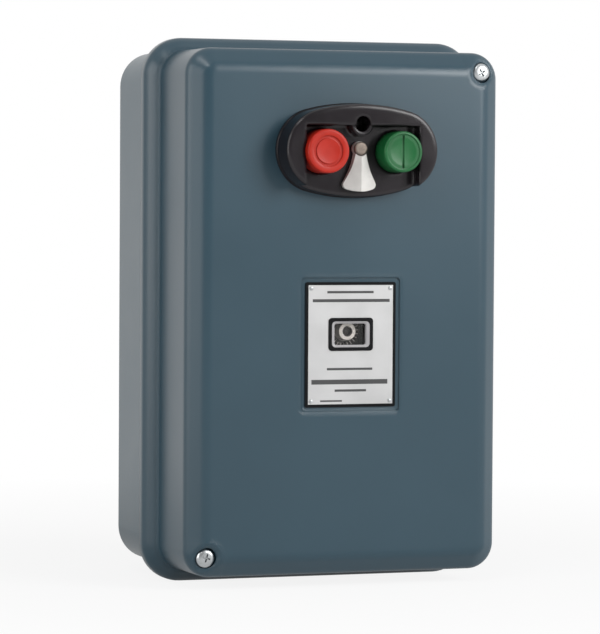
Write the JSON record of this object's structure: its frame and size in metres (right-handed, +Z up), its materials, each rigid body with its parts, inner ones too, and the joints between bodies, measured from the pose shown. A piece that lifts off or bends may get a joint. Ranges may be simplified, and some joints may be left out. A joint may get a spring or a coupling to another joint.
{
  "type": "magnetic motor starter",
  "caption": "Wall-mounted direct-on-line motor starter in a pressed-steel case, with red stop and green start push-buttons in a black oval bezel and a lever between them.",
  "frame": {"origin": "centre of the four wall-fixing holes, on the flat back of the base", "axes": "+X to the right as the starter is faced, +Y into the wall, +Z up; the front faces -Y"},
  "size_m": [0.1532, 0.1157, 0.2352],
  "materials": {
    "cover_enamel": "slate blue-grey enamel, semi-gloss",
    "base_enamel": "slate blue-grey enamel, semi-gloss",
    "seal_rubber": "matt black rubber",
    "plated_steel": "zinc-plated steel",
    "bright_screw": "bright plated steel",
    "dark_screw": "blackened steel",
    "core_steel": "ground laminated steel",
    "spring_steel": "spring steel",
    "contact_brass": "plain brass and copper",
    "black_moulding": "black phenolic moulding",
    "pale_moulding": "cream moulding",
    "coil_tape": "varnished winding tape",
    "dial_plastic": "light grey-brown moulding",
    "wire_sleeve": "black wire insulation",
    "plate_metal": "satin silver plate with a black border",
    "frame_plastic": "black moulding",
    "liner_plastic": "grey moulding",
    "clear_pane": "clear plastic",
    "bezel_plastic": "glossy black moulding",
    "red_plastic": "red moulding",
    "green_plastic": "green moulding",
    "lever_metal": "satin bright metal"
  },
  "bodies": {
    "base": {"base_pan": "base_enamel", "cable_grommets": "seal_rubber", "blanking_grommets": "seal_rubber", "cover_pillars": "plated_steel", "mounting_plate": "plated_steel", "mounting_screws": "bright_screw", "contactor_base": "black_moulding", "contactor_housing": "black_moulding", "arc_cover": "black_moulding", "fixed_core": "core_steel", "coil_bobbin": "pale_moulding", "coil_winding": "coil_tape", "return_springs": "spring_steel", "fixed_contacts": "contact_brass", "terminal_screws": "bright_screw", "line_clamps": "plated_steel", "relay_body": "black_moulding", "relay_lid": "black_moulding", "relay_links": "contact_brass", "load_strips": "contact_brass", "bimetal_strips": "spring_steel", "heater_windings": "coil_tape", "control_block": "pale_moulding", "block_screws": "bright_screw", "control_terminals": "bright_screw", "control_wires": "wire_sleeve", "stop_plunger_spring": "spring_steel", "start_plunger_spring": "spring_steel", "earth_terminal": "contact_brass"},
    "cover": {"cover_shell": "cover_enamel", "cover_gasket": "seal_rubber", "cover_screws": "bright_screw", "rating_plate": "plate_metal", "plate_rivets": "bright_screw", "window_frame": "frame_plastic", "window_liner": "liner_plastic", "window_pane": "clear_pane", "bezel": "bezel_plastic", "bezel_clamp": "plated_steel", "bezel_screw": "dark_screw", "lever_pivot": "bright_screw", "stop_spring": "spring_steel", "start_spring": "spring_steel"},
    "stop_button": {"stop_button": "red_plastic", "stop_clip": "spring_steel"},
    "start_button": {"start_button": "green_plastic", "start_clip": "spring_steel"},
    "lock_lever": {"lock_lever": "lever_metal"},
    "stop_linkage": {"stop_plunger": "pale_moulding", "stop_blade": "contact_brass", "stop_link": "plated_steel", "reset_pin": "pale_moulding"},
    "start_plunger": {"start_plunger": "pale_moulding", "start_blade": "contact_brass"},
    "armature": {"armature": "core_steel", "contact_carrier": "pale_moulding", "moving_contacts": "contact_brass", "contact_springs": "spring_steel"},
    "trip_bar": {"trip_bar": "pale_moulding"},
    "current_dial": {"current_dial": "dial_plastic"}
  },
  "joints": [
    {"name": "cover_off", "type": "slide", "parent": "base", "child": "cover", "axis": [0, -1, 0], "range_m": [0, 0.06]},
    {"name": "stop_press", "type": "slide", "parent": "cover", "child": "stop_button", "axis": [0, 1, 0], "range_m": [0, 0.005], "stiffness_N_per_m": 400, "springref_m": -0.006, "deforming": ["stop_spring"]},
    {"name": "start_press", "type": "slide", "parent": "cover", "child": "start_button", "axis": [0, 1, 0], "range_m": [0, 0.005], "stiffness_N_per_m": 400, "springref_m": -0.006, "deforming": ["start_spring"]},
    {"name": "lock_swing", "type": "hinge", "parent": "cover", "child": "lock_lever", "pos_m": [0.0016, -0.1058, 0.0698], "axis": [0, -1, 0], "range_deg": [-22, 22]},
    {"name": "stop_plunger_slide", "type": "slide", "parent": "base", "child": "stop_linkage", "axis": [0, 1, 0], "range_m": [0, 0.005], "stiffness_N_per_m": 150, "springref_m": -0.006, "deforming": ["stop_plunger_spring"]},
    {"name": "start_plunger_slide", "type": "slide", "parent": "base", "child": "start_plunger", "axis": [0, 1, 0], "range_m": [0, 0.005], "stiffness_N_per_m": 150, "springref_m": -0.006, "deforming": ["start_plunger_spring"]},
    {"name": "armature_pull_in", "type": "slide", "parent": "base", "child": "armature", "axis": [0, 1, 0], "range_m": [0, 0.004], "stiffness_N_per_m": 600, "springref_m": -0.008, "deforming": ["return_springs"]},
    {"name": "trip_slide", "type": "slide", "parent": "base", "child": "trip_bar", "axis": [1, 0, 0], "range_m": [0, 0.003], "stiffness_N_per_m": 200, "springref_m": -0.003},
    {"name": "dial_turn", "type": "hinge", "parent": "base", "child": "current_dial", "pos_m": [0.0016, -0.09, -0.0081], "axis": [0, -1, 0], "range_deg": [-60, 60]}
  ],
  "couplings": [
    {"joint": "stop_plunger_slide", "follows": "stop_press", "ratio": 1},
    {"joint": "start_plunger_slide", "follows": "start_press", "ratio": 1}
  ]
}
